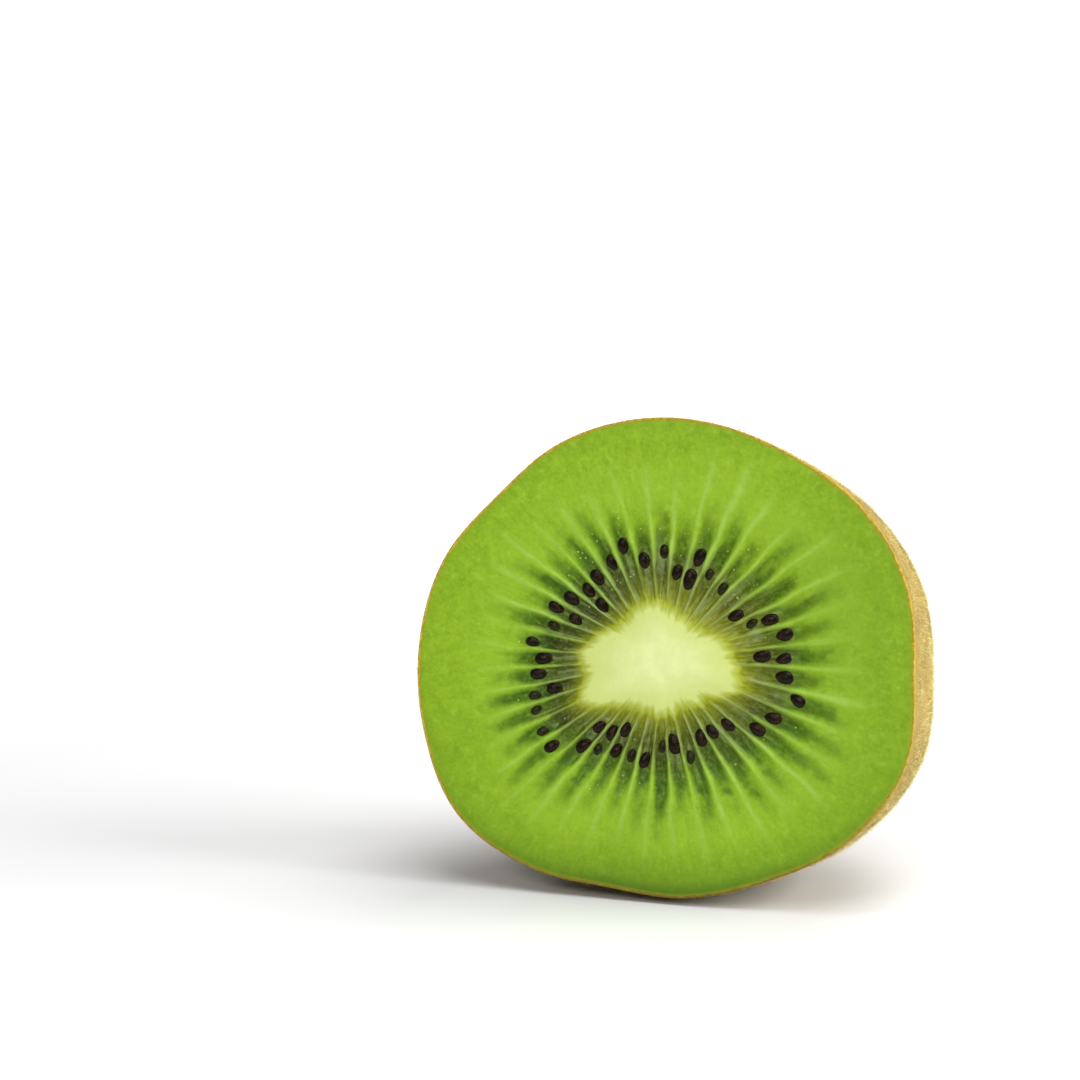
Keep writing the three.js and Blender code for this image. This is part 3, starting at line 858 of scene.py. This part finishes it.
def hair_shade(rng, spikes, tuft, degrees, along):
    """From 0, the darkest hairs, to 1. It is darker by the cut, more golden all round and with painted shade
    where the cut's edge is lowest, has painted shade at the upper right, and is browner towards the end.
    """
    x, y, z = (spikes[:, 0] / (MOTTLE * MM)).T
    shade = 0.45 + 0.5 * tuft + 0.3 * noise(x, y, z, seed=33) + rng.normal(0, 0.07, len(spikes))
    # More golden by the cut all round, with painted shade there where the cut's edge is lowest.
    shade = shade - (0.3 + 0.6 * shaded_underneath(degrees)) * smooth(1.4, 0.3, HALF_LENGTH * along)
    # Painted shade at the upper right, and browner towards the hidden end.
    shade = shade - 0.25 * bell((degrees - 35) / 20) - 0.3 * smooth(0.4, 0.85, along)
    return np.clip(shade, 0, 1)


def make_fuzz(name, seed, count, length, thickness, lift, dark, pale):
    """Hairs as thin closed spikes, which lie in tufts, mostly towards the fruit's end."""
    rng = np.random.default_rng(seed)
    degrees, along = hair_spots(rng, count)
    spikes, tuft, clear = hair_spikes(rng, degrees, along, length, thickness, lift)
    spikes = spikes[clear]
    shade = hair_shade(rng, spikes, tuft[clear], degrees[clear], along[clear])
    corner = 4 * np.arange(len(spikes))[:, None]
    faces = np.concatenate([corner + f for f in ([0, 1, 3], [1, 2, 3], [2, 0, 3], [0, 2, 1])]).tolist()
    cell, side = cells(len(spikes))
    triangle = np.array([[0.2, 0.2], [0.8, 0.2], [0.5, 0.8]]) * side
    layout = np.tile(cell[:, None] + triangle, (4, 1, 1))
    material = fuzz_material(name, dark, pale)
    add_piece(name, spikes, faces, material, layout, {"shade": np.repeat(shade, 4)})


def make_scales():
    """Dried scales round the stub of the stalk, each a flat tapered ball that bends up."""
    rng = np.random.default_rng(44)
    points, faces, layout = ball(7, 8)
    u, v, w = points.T
    shapes = []
    for number in range(SCALES):
        degrees = 360 / SCALES * (number + rng.uniform(-0.3, 0.3))
        inner = rng.uniform(1.2, 1.7)
        length, width = rng.uniform(1.1, 1.9), rng.uniform(0.35, 0.6)
        radius = inner + length * (u + 1) / 2
        aside = v * width / 2 * (1 - 0.5 * u)
        around_stub = degrees + np.degrees(aside / radius)
        curl = rng.uniform(0.1, 0.35) * np.square((u + 1) / 2)
        lies_at = scar_height(inner + length * 0.4, degrees)
        shapes.append(place_in_frame(radius, around_stub, HALF_LENGTH + lies_at - 0.12 + curl + w * 0.07))
    points, faces, layout = many(shapes, faces, layout)
    add_piece("stalk_scales", points, faces, scale_material(), layout)


# ------------------------------------------------------------------ stage and lights, in metres, and camera
FLOOR_REACH = 0.6
FLOOR_FADE = (0.1, 0.35)  # how far out the floor begins to fade and has gone
FLOOR_WHITE = (0.78, 0.78, 0.78, 1)
WORLD_LIGHT = 0.36
WORLD_CHANGES = {"Is Glossy Ray": -0.16, "Is Camera Ray": 1.1}  # added to it for these rays
LIT_SPOT = (0, 0, 0.025)  # what the lights point at
LIGHTS = [
    dict(name="key", where=(-0.15, -0.8, 0.5), size=0.25, power=1.75),
    dict(name="side", where=(0.6, 0.08, 0.26), size=0.45, power=6),
    dict(name="back", where=(0.12, 0.38, 0.62), size=0.5, power=2.8),
    dict(name="top", where=(0.2, -0.2, 0.8), size=0.6, power=4),
]
PHOTO_SIDE = 1080
CORE_PIXEL = (662, 660)  # where the middle of the cut lies in the picture
PIXELS_PER_MM = 9.5
CAMERA_DISTANCE = 380  # in mm, as is the sensor
SENSOR = 36
AZIMUTH, ELEVATION = np.radians(20), np.radians(8)


def make_stage():
    """A white floor that fades into the white backdrop."""
    mesh = bpy.data.meshes.new("floor")
    corners = [(x * FLOOR_REACH, y * FLOOR_REACH, 0) for x, y in ((-1, -1), (1, -1), (1, 1), (-1, 1))]
    mesh.from_pydata(corners, [], [(0, 1, 2, 3)])
    shader = Shader("white_floor", Base_Color=FLOOR_WHITE, Roughness=0.2, IOR=1.2)
    distance = shader.node("ShaderNodeVectorMath", {0: shader.position()}, "Value", operation="LENGTH")
    clear = shader.node("ShaderNodeBsdfTransparent", {})
    layers = {0: shader.spread(distance, *FLOOR_FADE), 1: shader.surface.outputs[0], 2: clear}
    faded = shader.node("ShaderNodeMixShader", layers)
    join(shader.tree, faded, shader.tree.nodes["Material Output"].inputs["Surface"])
    mesh.materials.append(shader.material)
    floor = bpy.data.objects.new("floor", mesh)
    bpy.context.scene.collection.objects.link(floor)


def add_light(name, where, size, power):
    light = bpy.data.lights.new(name, "AREA")
    light.shape, light.size, light.energy = "SQUARE", size, power
    lamp = bpy.data.objects.new(name, light)
    lamp.location = where
    lamp.rotation_mode = "QUATERNION"
    lamp.rotation_quaternion = (Vector(LIT_SPOT) - Vector(where)).to_track_quat("-Z", "Y")
    bpy.context.scene.collection.objects.link(lamp)


def make_world():
    """White to the camera, dimmer as a light and dimmest in reflections."""
    world = bpy.data.worlds.new("white_studio")
    world.use_nodes = True
    tree = world.node_tree
    backdrop = tree.nodes["Background"]
    rays = tree.nodes.new("ShaderNodeLightPath")
    strength = WORLD_LIGHT
    for kind, change in WORLD_CHANGES.items():
        inputs = {0: rays.outputs[kind], 1: change, 2: strength}
        strength = add_node(tree, "ShaderNodeMath", inputs, operation="MULTIPLY_ADD")
    join(tree, (1, 1, 1, 1), backdrop.inputs["Color"])
    join(tree, strength, backdrop.inputs["Strength"])
    bpy.context.scene.world = world


def make_camera():
    level = np.cos(ELEVATION)
    back = np.array([np.sin(AZIMUTH) * level, -np.cos(AZIMUTH) * level, np.sin(ELEVATION)])
    right = unit(np.cross(-back, [0, 0, 1]))
    above = np.cross(right, -back)
    off_x, off_y = ((pixel - PHOTO_SIDE / 2) / PIXELS_PER_MM for pixel in CORE_PIXEL)
    eye = CUT_CENTRE + CAMERA_DISTANCE * back - off_x * right + off_y * above
    data = bpy.data.cameras.new("camera")
    data.sensor_width = SENSOR
    data.lens = SENSOR * PIXELS_PER_MM * CAMERA_DISTANCE / PHOTO_SIDE
    data.clip_start, data.clip_end = 0.01, 20
    camera = bpy.data.objects.new("camera", data)
    camera.location = Vector(eye * MM)
    camera.rotation_mode = "QUATERNION"
    camera.rotation_quaternion = Vector(-back).to_track_quat("-Z", "Y")
    bpy.context.scene.collection.objects.link(camera)
    bpy.context.scene.camera = camera


bpy.context.scene.view_settings.view_transform = "Standard"
seeds = seed_places()
make_flesh(seeds)
make_skin()
make_seeds(seeds)
make_beads()
for layer in FUZZ:
    make_fuzz(**layer)
make_scales()
make_stage()
make_world()
for light in LIGHTS:
    add_light(**light)
make_camera()
